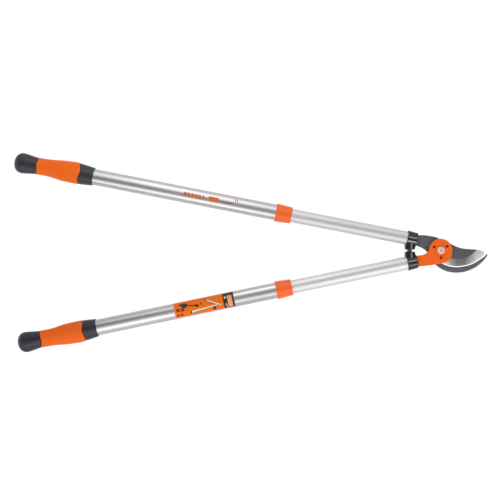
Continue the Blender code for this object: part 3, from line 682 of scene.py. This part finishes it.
def cutting_blade():
    """Top face, ground face and edge. The ground face is slightly crowned, and a narrow steeper face along
    the cutting edge catches the light; its colour is also painted lighter, a painted highlight. Past the end
    of the bevel line the whole width is ground."""
    columns, rows = 90, 14
    edge = evenly(smooth([(0.5, -23.2), (7.4, -26.5), (18.6, -30.1), (31.1, -31.4), (43.6, -30.2),
                          (56.1, -27.3), (68.6, -21.4), (81.1, -13.3), (88.4, -7.4)]), columns + 1)
    line = smooth([(0.5, -23.2), (6, -17.8), (16, -15), (28, -14.8), (41, -14.4),
                   (54, -10.6), (68.2, 1.1)])
    tip_back = smooth([(68.2, 1.1), (79.5, -1.9), (88.4, -7.4)])
    corner = round(columns * 0.78)
    rail = evenly(line, corner + 1) + evenly(tip_back, columns - corner + 1)[1:]
    back = smooth([(68.2, 1.1), (56.1, 2), (43.6, 3.1), (31.1, 6.5), (19.4, 12.4)], 6)
    plain = back[1:] + arc(20.5, 42, 250, 50)
    bottom, top = CUTTING_BLADE_Z
    tip_thickness, micro_width, micro_rise, crown = 1.2, 1.35, 0.7, 0.22
    foot = bottom + 0.06
    # The ground face narrows to nothing at both ends: this keeps each end's points apart
    spread = {0: Vector((-0.004, 0.008)), columns: Vector((-0.01, 0.004))}
    bm = bmesh.new()

    def points_at(outline, z):
        return [bm.verts.new((x * MM, y * MM, z * MM)) for x, y in outline]

    uv = bm.loops.layers.uv.new("grind")
    places = {}
    travelled = 0
    grid = []
    for i in range(columns + 1):
        low, high = edge[i], rail[i]
        if i:
            travelled += (low - edge[i - 1]).length
        thinning = max(0, (i - corner) / (columns - corner))
        level = top - (top - bottom - tip_thickness) * thinning
        width = (high - low).length
        micro = min(0.45, micro_width / width) if width > 1e-6 else 0.45
        rise = min(micro_rise * min(1, 0.1 + (columns - i) / 14), 0.5 * (level - bottom))
        start = foot + rise
        column = []
        for j in range(rows + 1):
            share, z = 0, foot
            if j:
                inward = (j - 1) / (rows - 1)
                share = micro + (1 - micro) * inward
                z = start + (level - start) * inward * (1 + crown * (1 - inward))
            place = low.lerp(high, share)
            if i in spread:
                place = place + spread[i] * j
            vertex = bm.verts.new((place.x * MM, place.y * MM, z * MM))
            places[vertex] = (travelled * MM, share * width * MM)
            column.append(vertex)
        grid.append(column)
    for a, b in zip(grid, grid[1:]):
        for j in range(rows):
            face = bm.faces.new((a[j], b[j], b[j + 1], a[j + 1]))
            face.material_index = 2 if j == 0 else 1
    upper = [column[-1] for column in grid]
    plain_top = points_at(plain, top)
    bm.faces.new(upper[:corner + 1] + plain_top)
    low_walls = points_at(edge + rail[-2:corner - 1:-1] + plain, bottom)
    bm.faces.new(low_walls)
    high_walls = [column[0] for column in grid] + upper[-2:corner - 1:-1] + plain_top
    for i in range(len(low_walls)):
        j = (i + 1) % len(low_walls)
        if i == columns:
            bm.faces.new((low_walls[i], low_walls[j], high_walls[j], *grid[-1][::-1]))
        elif j == 0:
            bm.faces.new((low_walls[i], low_walls[j], *grid[0], high_walls[i]))
        else:
            bm.faces.new((low_walls[i], low_walls[j], high_walls[j], high_walls[i]))
    for face in bm.faces:
        for loop in face.loops:
            flat = (loop.vert.co.x, loop.vert.co.y)
            loop[uv].uv = places.get(loop.vert, flat) if face.material_index else flat
    mesh = mesh_from(bm, "cutting_blade_body")
    for material in (BLADE_COATING, GROUND_STEEL_WITH_PAINTED_REFLECTION, EDGE_STEEL):
        mesh.materials.append(material)
    pegs = [peg(BORE_RADIUS, (0, 0), -5, 10)] + [peg(1.9, place, -5, 10, 24) for place in SCREWS]
    for tool in pegs:
        tool.materials.append(BLADE_COATING)
    mesh = shaped(mesh, *cut(*pegs))
    add_piece("blade", mesh, PIVOT, None, "lower_arm", "blade_steel", "cutting_blade")


def blade_screws():
    top = BLADE_ARM_Z[1] - 0.2
    bottom = top - 1.3
    profile = rounded([(0, top), (2.4, top, 0.5), (2.4, bottom, 0.1), (1.6, bottom, 0.1), (1.6, 0.6, 0.2),
                       (0, 0.6)], 0.2, closed=False)
    for i, (x, y) in enumerate(SCREWS):
        mesh = shaped(lathe("screw", profile, 48), *cut(hexagon(1.1, top - 0.8, top + 1)))
        place = PIVOT @ Matrix.Translation((x * MM, y * MM, 0))
        name = f"blade_screw_{i + 1}"
        black_steel = turned_steel(f"black_oxide_{i + 1}", (0.085, 0.048, 0.034), 0.42, 0.4, place)
        add_piece("black_" + name, mesh, place, black_steel, "lower_arm", "screw_steel", name)


def pivot_fasteners():
    seat = BLADE_ARM_Z[1] + 0.3
    top = seat + 3.2
    profile = rounded([(0, top), (6.6, top, 0.9), (6.6, seat, 0.15), (5, seat, 0.1), (5, -5.2, 0.3),
                       (3.9, -5.2, 0.1), (3.9, -14, 0.6), (0, -14)], 0.2, closed=False)
    key_socket = hexagon(3.2, top - 1.2, top + 1)
    key_socket.materials.append(BLUE_ZINC)
    body = lathe("bolt_body", profile)
    body.materials.append(BRIGHT_STEEL)
    bolt = shaped(body, *cut(key_socket))
    add_piece("shoulder_bolt", bolt, PIVOT, None, "lower_arm", "bright_steel", "pivot_bolt")
    washer = lathe("washer", rounded([(10, -5.5), (10, -6.9), (4.2, -6.9), (4.2, -5.5)], 0.25))
    add_piece("washer", washer, PIVOT, BRIGHT_STEEL, "lower_arm", "bright_steel", "pivot_washer")
    corner = 13 / math.sqrt(3)
    cone = lathe("cone", [(0, -7.2), (6.4, -7.2), (7.8, -8), (7.8, -12.4), (6.4, -13.2), (0, -13.2)])
    nut = shaped(hexagon(corner, -13.2, -7.2), ("INTERSECT", cone), *cut(peg(4.2, (0, 0), -20, 0)))
    add_piece("lock_nut", nut, PIVOT, BRIGHT_STEEL, "lower_arm", "bright_steel", "pivot_nut")


# The arms

def socket(side):
    """Moulding over the tube's end: a tapered ring and a bumper block, both ribbed. Its edges are soft, and
    the crests of its ribs are painted a satin grey as painted highlights."""
    sign, matrix = SIDES[side], ARMS[side]
    front, rear, front_radius, rear_radius = RING.values()
    bore_front = 51.7
    to_arm = matrix.inverted() @ PIVOT
    ring = lathe(side + "_socket_ring", [(0, rear), (rear_radius, rear), (front_radius, front), (0, front)])
    outline = [(-60.5, 22), (-61.5, 16.5), (-66.2, 10.9), (-66.2, 1.9), (-48.7, 1.9), (-47.4, 8),
               (-45.2, 13.5, 2.5), (-46.5, 22)]
    bumper = flat_part(outline, sign, TUBE_Z - BLOCK_TOP, TUBE_Z + BLOCK_TOP, 1.5, 0.9)
    bumper.transform(to_arm)
    rib_half, rib_height = RIBS["half"], RIBS["height"]
    rib_low, rib_high = RIBS["block"] - rib_half, RIBS["block"] + rib_half
    block_rib = flat_part(rect(rib_low, rib_high, 3, 13.8), sign, TUBE_Z, TUBE_Z + BLOCK_TOP + rib_height,
                          0.6, 0.3)
    block_rib.transform(to_arm)
    steps = [("UNION", bumper), ("UNION", block_rib)]
    slope = math.atan2(rear_radius - front_radius, rear - front)
    for across in RIBS["ring"]:
        top = math.sqrt(rear_radius**2 - across**2) + rib_height
        rib = plate("rib", rect(across - rib_half, across + rib_half, 8, top), front + 1.2, rear - 1.2,
                    edge=0.3)
        follow = Matrix.Translation((0, top * MM, rear * MM)) @ Matrix.Rotation(-slope, 4, "X")
        rib.transform(follow @ Matrix.Translation((0, -top * MM, -rear * MM)))
        steps.append(("UNION", rib))
    steps += cut(peg(12.9, (0, 0), bore_front, rear + 5, 96))
    bottom, top = COUNTER_BLADE_Z if side == "upper" else BLADE_ARM_Z
    slot = rect(-10.8, 10.8, bottom - TUBE_Z - 0.3, top - TUBE_Z + 0.3)
    steps += cut(plate("slot", slot, front - 5, bore_front + 1))
    low, high, _, _ = reach(side + "_buffer", PIVOT)
    radius = (high.x - low.x) / 2
    plug_place = Matrix.Translation(((low.x + high.x) / 2 * MM, 0, TUBE_Z * MM))
    plug_place = plug_place @ Matrix.Rotation(math.radians(-90 * sign), 4, "X")
    pocket = lathe("pocket", [(0, 0), (radius + 0.3, 0), (radius + 0.3, 9), (0, 9)], 48)
    pocket.transform(to_arm @ plug_place)
    steps += [*cut(pocket), ("REMESH", 0.38), ("SMOOTH", 4)]
    mesh = shaped(ring, *steps)
    add_piece(side + "_tube_socket", mesh, matrix, SOCKET_PLASTIC_WITH_PAINTED_HIGHLIGHTS[side], side + "_arm", "socket_plastic",
              side + "_socket", crisp=False)
    length = max(abs(low.y), abs(high.y))
    profile = rounded([(0, 0.03), (radius, 0.03, 0.25), (radius, length, 0.2), (0, length)], 0.2, 6,
                      closed=False)
    plug = lathe("plug", profile, 64)
    add_piece(side + "_bumper_plug", plug, PIVOT @ plug_place, BROWN_RUBBER, side + "_arm", "buffer_rubber",
              side + "_buffer")


def flat_part(outline, sign, bottom, top, radius, edge):
    """A plate with round corners, drawn for the upper arm and turned over for the lower one."""
    shape = [(x, sign * y) for x, y in rounded(outline, radius)]
    return plate("part", anticlockwise(shape), bottom, top, edge=edge)


def tubes(side):
    for part, material, body in (("inner", INNER_ALUMINIUM, "arm"), ("outer", OUTER_ALUMINIUM, "handle")):
        node = f"{side}_{part}_tube"
        low, high, bore, radius = reach(node, ARMS[side])
        profile = rounded([(radius, high.z), (radius, low.z), (bore, low.z), (bore, high.z)], 0.3)
        add_piece(f"{side}_{part}_aluminium", lathe(node + "_body", profile), ARMS[side], material[side],
                  f"{side}_{body}", "aluminium_tube", node)


def lock_collar(side):
    """Twist collar, tapering towards the head, with a raised rim at its rear."""
    node = side + "_lock_collar"
    low, high, lip, radius = reach(node, ARMS[side])
    front, rear = low.z, high.z
    _, _, _, flange_radius = reach(side + "_collet", ARMS[side])
    shoulder = front + 12.2
    outline = [
        (radius, rear, 1), (radius, rear - 2.4, 0.5), (radius - 0.45, rear - 2.8, 0.2),
        (radius - 0.45, rear - 3.4, 0.2), (radius - 0.2, rear - 3.9, 0.6), (15.4, front, 1.5),
        (lip, front, 0.3), (lip, front + 2.2, 0), (flange_radius + 0.3, front + 2.2, 0),
        (flange_radius + 0.3, shoulder, 0), (15.3, shoulder, 0), (15.3, rear, 0.4),
    ]
    add_piece(side + "_collar", lathe(node + "_body", rounded(outline, 0.3, 5), 128), ARMS[side],
              COLLAR_ORANGE, side + "_collar", "collar_orange", node)


# The grips: (distance from the front edge, half-width outwards, half-width inwards, half-height)

GRIP_SECTIONS = (
    (0, 16.9, 16.6, 16.7),
    (24, 20, 18.9, 18.8),
    (34, 21.1, 19.6, 19),
    (55, 20.1, 19.2, 18.4),
    (90, 16.2, 15.8, 15.4),
    (107, 15.7, 16.2, 15.3),
    (136, 18.8, 19.4, 18),
    (151, 19, 19.6, 18.2),
)
GRIP_LENGTH, KNOB_ROUND, KNOB_POWER = 151, 16, 2.2
GRIP_SEGMENTS = 96
# The grips keep this far inside the coarser CAD grips
INSIDE = 0.08
# Front and rear edges of each sleeve: the mean, and cosine waves of 1, 2, 3... periods around the grip,
# from its outward side
SLEEVE_EDGES = {
    "upper": ((26.93, 0.63, 0.98, 1.04, -0.34, -0.44), (106.46, 0, 0, -0.6, 0.71)),
    "lower": ((25.34, 0.3, -0.57, -0.26, 0.91), (106.26, 1.2, 1.59, 0.4, 0, -0.3)),
}


def grip_section(u):
    """Half-widths and half-height at this distance from the front, as a curve with no overshoot."""
    u = min(max(u, 0), GRIP_LENGTH)
    index = 0
    while index < len(GRIP_SECTIONS) - 2 and u > GRIP_SECTIONS[index + 1][0]:
        index += 1
    a, b = GRIP_SECTIONS[index], GRIP_SECTIONS[index + 1]
    step = b[0] - a[0]
    t = (u - a[0]) / step

    def slope(here, k):
        if here in (0, len(GRIP_SECTIONS) - 1):
            return (b[k] - a[k]) / step
        before, at, after = GRIP_SECTIONS[here - 1:here + 2]
        first, second = (at[k] - before[k]) / (at[0] - before[0]), (after[k] - at[k]) / (after[0] - at[0])
        return 2 * first * second / (first + second) if first * second > 0 else 0

    return [
        a[k] * (2 * t**3 - 3 * t**2 + 1) + slope(index, k) * step * (t**3 - 2 * t**2 + t)
        + b[k] * (3 * t**2 - 2 * t**3) + slope(index + 1, k) * step * (t**3 - t**2)
        for k in range(1, 4)
    ]


def grip_point(side, seat, u, angle, lift=0):
    outwards, inwards, height = grip_section(u)
    into = max(0, (u - (GRIP_LENGTH - KNOB_ROUND)) / KNOB_ROUND)
    shrink = max(0, 1 - into**KNOB_POWER) ** (1 / KNOB_POWER)
    out = math.cos(angle) * -SIDES[side]
    across = outwards if out > 0 else inwards
    lift -= INSIDE
    return Vector((
        (across * shrink + lift) * math.cos(angle),
        (height * shrink + lift) * math.sin(angle),
        seat + u,
    ))


def sleeve_edge(side, which, angle):
    outwards = angle if side == "lower" else math.pi - angle
    return sum(wave * math.cos(periods * outwards) for periods, wave in enumerate(SLEEVE_EDGES[side][which]))


def grip(side):
    """Hard core with the soft sleeve let into it, a hair proud, between two wavy edges."""
    low, _, _, _ = reach(side + "_grip_core", ARMS[side])
    seat = low.z - INSIDE
    angles = whole_turn(GRIP_SEGMENTS)

    def ring(u_of, lift=0):
        return [grip_point(side, seat, u_of(a), a, lift) * MM for a in angles]

    def collar_ring(u, radius):
        return [Vector((radius * math.cos(a), radius * math.sin(a), seat + u)) * MM for a in angles]

    def at(u):
        return lambda angle: u

    def between(share, front_gap=0, rear_gap=0):
        def place(angle):
            front = sleeve_edge(side, 0, angle) + front_gap
            rear = sleeve_edge(side, 1, angle) + rear_gap
            return front + (rear - front) * share
        return place

    def before_sleeve(share):
        return lambda angle: 1.2 + (sleeve_edge(side, 0, angle) - 0.9 - 1.2) * share

    def after_sleeve(share):
        last = (GRIP_LENGTH - KNOB_ROUND) * share
        return lambda angle: (sleeve_edge(side, 1, angle) + 0.9) * (1 - share) + last

    bore = 15.3
    core = [collar_ring(50, bore), collar_ring(0.4, bore), collar_ring(0, bore + 0.3)]
    core += [ring(at(u), -down) for u, down in ((0, 0.9), (0.12, 0.45), (0.45, 0.12), (0.9, 0))]
    core += [ring(before_sleeve(i / 12), -0.3 * ramp_between(i, 9, 12)) for i in range(1, 13)]
    groove = ((0.5, 0.42), (0.25, 0.8), (0.2, 1.4))
    core += [ring(between(0, -gap), -down) for gap, down in groove]
    core += [ring(between(i / 16), -1.5) for i in range(1, 16)]
    core += [ring(between(1, 0, gap), -down) for gap, down in reversed(groove)]
    core += [ring(after_sleeve(i / 12), -0.3 * (1 - ramp_between(i, 0, 2))) for i in range(13)]
    closing = 18
    for i in range(1, closing):
        turn = math.pi / 2 * i / closing
        core.append(ring(at(GRIP_LENGTH - KNOB_ROUND * (1 - math.sin(turn)))))
    mesh = skin(side + "_grip_body", core)
    add_piece(side + "_grip", mesh, ARMS[side], GRIP_BLACK[side], side + "_handle", "grip_black",
              side + "_grip_core", crisp=False)

    soft = 0.7
    edge = quarter(soft, 4)
    sleeve = [ring(between(0), -1.1)]
    sleeve += [ring(between(0, back), -down) for back, down in edge]
    sleeve += [ring(between(i / 40, soft, -soft)) for i in range(1, 40)]
    sleeve += [ring(between(1, 0, -back), -down) for back, down in reversed(edge)]
    sleeve += [ring(between(1), -1.1)]
    sleeve += [ring(between(i / 10), -1.2) for i in range(9, 0, -1)]
    mesh = skin(side + "_sleeve_body", sleeve, closed=True)
    add_piece(side + "_soft_sleeve", mesh, ARMS[side], GRIP_ORANGE[side], side + "_handle", "grip_orange",
              side + "_grip_sleeve", crisp=False)


# Printing: outlines in (station, distance from the tube's axis towards the tool's +Y side), laid on a tube


def wrapped(name, outlines, radius, thickness):
    """Thin patches bent around a tube."""
    bm = bmesh.new()
    for outline in outlines:
        bm.from_mesh(plate("patch", anticlockwise(outline), 0, thickness))
    for i in range(-14, 15):
        geometry = bm.verts[:] + bm.edges[:] + bm.faces[:]
        bmesh.ops.bisect_plane(bm, geom=geometry, plane_co=(0, i * MM, 0), plane_no=(0, 1, 0))
    for vertex in bm.verts:
        s, t, lift = vertex.co
        r = radius * MM + lift
        across = t * r / (radius * MM)
        vertex.co = (-across, math.sqrt(r * r - across**2), s)
    return mesh_from(bm, name)


def printed(side, name, material, outlines, level, thickness=0.03, nodes=()):
    """A film or an ink on the outer tube, this high over it."""
    _, _, _, tube = reach(side + "_outer_tube", ARMS[side])
    mesh = wrapped(name, outlines, tube + level, thickness)
    add_piece(name, mesh, ARMS[side], material, side + "_handle", "label_film", *nodes)


def bar(start, end, width, end_width=None):
    """A straight bar from one place to another, tapering if it is given a second width."""
    a, b = Vector(start), Vector(end)
    along = (b - a).normalized()
    side = Vector((-along.y, along.x))
    last = width if end_width is None else end_width
    return [tuple(a + side * width / 2), tuple(a - side * width / 2), tuple(b - side * last / 2),
            tuple(b + side * last / 2)]


def label():
    """Instruction label with generic pictures: an open tool, a cutting head, blocks and a framed panel."""
    matrix = ARMS["lower"]
    low, high, _, outside = reach("instruction_label", matrix)
    _, _, _, tube = reach("lower_outer_tube", matrix)
    front, rear = low.z, high.z
    bottom, top = -high.x * tube / outside, -low.x * tube / outside
    film = rounded(rect(front, rear, bottom, top), 0.8)
    printed("lower", "label_film", LABEL_FILM, [film], 0.02, 0.10, ["instruction_label"])

    def at(p, t):
        """A place on the label, from its grip end."""
        return (rear - p, t)

    dark = [
        rect(front + 0.3, rear - 92.4, bottom + 0.3, top - 0.6),
        bar(at(30.6, -7.2), at(79, -3.5), 5.4, 3.4), bar(at(60.8, 9.5), at(86.6, -4.4), 4.2, 3.8),
        [at(28.9, -4.6), at(31.6, -4.9), at(32.2, -9.3), at(29.6, -9.6)],
        [at(57.5, 11.6), at(61.5, 11.2), at(63.4, 8.6), at(60.8, 8)],
        [at(71.9, -6.1), at(77.1, -5.5), at(77.7, -10.6), at(72.5, -11.7)],
        [at(8.8, 10), at(16.5, 11.6), at(23, 11), at(27.2, 7.4), at(23, 3.8), at(18.5, 2.6),
         at(14.8, 6.2), at(10.8, 8)],
        bar(at(25, 6.8), at(44.6, 2.6), 1.9, 2.5),
        [at(39.2, 5.8), at(44.4, 4.9), at(47.2, 2), at(44, -0.1), at(40.4, 1.4)],
    ]
    brown = [rect(rear - 10, rear - 3.8, -2.2, 3.8), rect(rear - 18.4, rear - 12.4, -2.4, 3.8),
             rect(rear - 7.6, rear - 3.8, -10.6, -6.4), rect(rear - 14.8, rear - 10, -10.6, -6.2),
             bar(at(49.4, 8.2), at(52.6, 2.2), 1.9)]
    cream = [bar(at(31.6, -6.9), at(80, -3.2), 3.8, 1.9), bar(at(61.6, 9.4), at(87, -4.4), 2.6, 2.2),
             rect(rear - 98.6, rear - 95, 5.2, 8.4), bar(at(97, -4.2), at(98.6, -10.8), 1.4)]
    peach = [rounded(rect(rear - 109.4, rear - 100.6, -11.3, 9.4), 0.8)]
    printed("lower", "label_dark_print", DARK_INK, dark, 0.115)
    printed("lower", "label_brown_print", BROWN_INK, brown, 0.115)
    printed("lower", "label_cream_print", CREAM_INK, cream, 0.14)
    printed("lower", "label_peach_print", PEACH_INK, peach, 0.14)


def tube_print():
    """Plain blocks, a bar and a rule printed on the upper tube, and a pale tick with grey painted shade on
    its two sides.
    """
    blocks = []
    for i, width in enumerate((6, 5.4, 5.4, 5.4, 4.4, 3.4)):
        s = 491.6 - 7 * i
        blocks.append([(s, 4.6), (s - width, 4.6), (s - width - 1, -3.4), (s - 1, -3.4)])
    blocks.append([(444.4, 5.6), (424.6, 5), (423.6, -3), (443.4, -3.4)])
    tick = [(394, 9.2), (391.2, 9.2), (390, 2.4), (392.8, 2.4)]
    # Painted shade: grey strips on both sides of the pale tick
    sides = [[(s + 1.2, 9.2), (s, 9.2), (s - 1.2, 2.4), (s, 2.4)] for s in (394, 390)]
    printed("upper", "tube_print", TUBE_INK, blocks, 0.01)
    printed("upper", "tube_rule_print", RULE_INK, [rect(398, 422, -1.5, 1.2)], 0.01)
    printed("upper", "tube_tick_print", PALE_INK, [tick], 0.03)
    printed("upper", "tube_tick_painted_shade", TICK_PAINTED_SHADE, sides, 0.01)


# The CAD nodes that show only through gaps keep their shape

KEPT_NODES = {
    "collet": ("inner_plastic", INNER_PLASTIC),
    "guide_bush": ("inner_plastic", INNER_PLASTIC),
    "tang_insert": ("inner_plastic", INNER_PLASTIC),
    "tang_pin": ("bright_steel", BRIGHT_STEEL),
}


def keep_nodes(side):
    for part, (slot, material) in KEPT_NODES.items():
        node = frame["nodes"][f"{side}_{part}"]
        node.data.materials.clear()
        node.data.materials.append(material)


# Studio: a light tent over the object, a white floor and a backdrop


def lit_surface(name, mesh, strength):
    """An object of the studio. It gives light and has no colour of its own."""
    obj = helper(mesh)
    obj.name = name
    finish = Finish(name)
    emission = finish.add("Emission", {"Strength": strength(finish)})
    output = finish.nodes["Material Output"]
    finish.links.new(emission.outputs[0], output.inputs["Surface"])
    mesh.materials.append(finish.material)
    return obj


TENT_RADIUS = 0.72
TENT_LENGTH = 2.4
TENT_LIGHT = 2.45
ROOM_LIGHT = 0.86
PLAIN_WHITE = 1.05
# Across the tent, from its foot on the -Y side over the top to the +Y side
TENT_ACROSS = ((0, 0.38), (0.10, 0.42), (0.20, 0.88), (0.25, 0.93), (0.38, 0.36), (0.47, 0.20),
               (0.55, 0.185), (0.62, 0.26), (0.74, 0.76), (0.83, 0.97), (0.92, 0.58), (1, 0.42))
# Along the tent from -X to +X, for its -Y and its +Y side
TENT_ALONG = {
    -1: ((0, 0.40), (0.22, 0.76), (0.35, 0.93), (0.42, 1), (0.46, 0.95), (0.53, 0.68), (0.57, 0.66),
         (0.64, 0.95), (1, 0.9)),
    1: ((0, 0.35), (0.25, 0.42), (0.34, 0.56), (0.40, 0.74), (0.44, 0.98), (0.47, 0.97), (0.52, 0.84),
        (0.56, 0.72), (0.68, 0.55), (1, 0.5)),
}


def tent_strength(finish):
    parts = finish.axes()
    turn = finish.maths("ARCTAN2", parts["Y"], parts["Z"])
    across = finish.ramp(finish.span(turn, -math.pi / 2, math.pi / 2, 0, 1), TENT_ACROSS)
    along = finish.span(parts["X"], -TENT_LENGTH / 2, TENT_LENGTH / 2, 0, 1)
    sides = [finish.ramp(along, TENT_ALONG[sign]) for sign in (-1, 1)]
    mixed = finish.blend(finish.span(parts["Y"], -0.2, 0.2, 0, 1), *sides)
    product = finish.add("Mix", {0: 1, 6: across, 7: mixed}, data_type="RGBA", blend_type="MULTIPLY")
    return finish.maths("MULTIPLY", product.outputs[2], TENT_LIGHT)


def studio():
    scene = bpy.context.scene
    scene.view_settings.view_transform = "Standard"
    bm = bmesh.new()
    columns = 64
    rows = []
    for x in (-TENT_LENGTH / 2, TENT_LENGTH / 2):
        turns = [math.pi * (i / columns - 0.5) for i in range(columns + 1)]
        rows.append([bm.verts.new((x, TENT_RADIUS * math.sin(a), TENT_RADIUS * math.cos(a))) for a in turns])
    for i in range(columns):
        bm.faces.new((rows[0][i], rows[0][i + 1], rows[1][i + 1], rows[1][i]))
    tent = lit_surface("light_tent", mesh_from(bm, "light_tent", face_out=False), tent_strength)
    tent.visible_camera = False

    world = bpy.data.worlds.new("room")
    scene.world = world
    world.use_nodes = True
    background = world.node_tree.nodes["Background"]
    background.inputs["Color"].default_value = (ROOM_LIGHT, ROOM_LIGHT, ROOM_LIGHT, 1)

    bm = bmesh.new()
    bmesh.ops.create_icosphere(bm, subdivisions=4, radius=60)
    backdrop = mesh_from(bm, "backdrop", face_out=False)
    floor = plate("floor", arc(50000, 0, 350, 36), -20, 0)
    for mesh in (backdrop, floor):
        obj = lit_surface(mesh.name, mesh, lambda finish: PLAIN_WHITE)
        obj.visible_diffuse = False
        obj.visible_glossy = False
        obj.visible_transmission = False
        obj.visible_shadow = False


def camera():
    """Straight above, 1.9 m over the tubes' axes."""
    data = bpy.data.cameras.new("camera")
    data.sensor_width = 36
    data.lens = 72.96
    obj = bpy.data.objects.new("camera", data)
    obj.location = PIVOT_PLACE + Vector((-0.3566, 0.00287, 1.902))
    obj.rotation_euler = (0, 0, math.radians(-0.34))
    bpy.context.scene.collection.objects.link(obj)
    bpy.context.scene.camera = obj


blade_arm()
counter_blade()
cutting_blade()
blade_screws()
pivot_fasteners()
for arm in SIDES:
    tubes(arm)
    socket(arm)
    lock_collar(arm)
    grip(arm)
    keep_nodes(arm)
label()
tube_print()
studio()
camera()
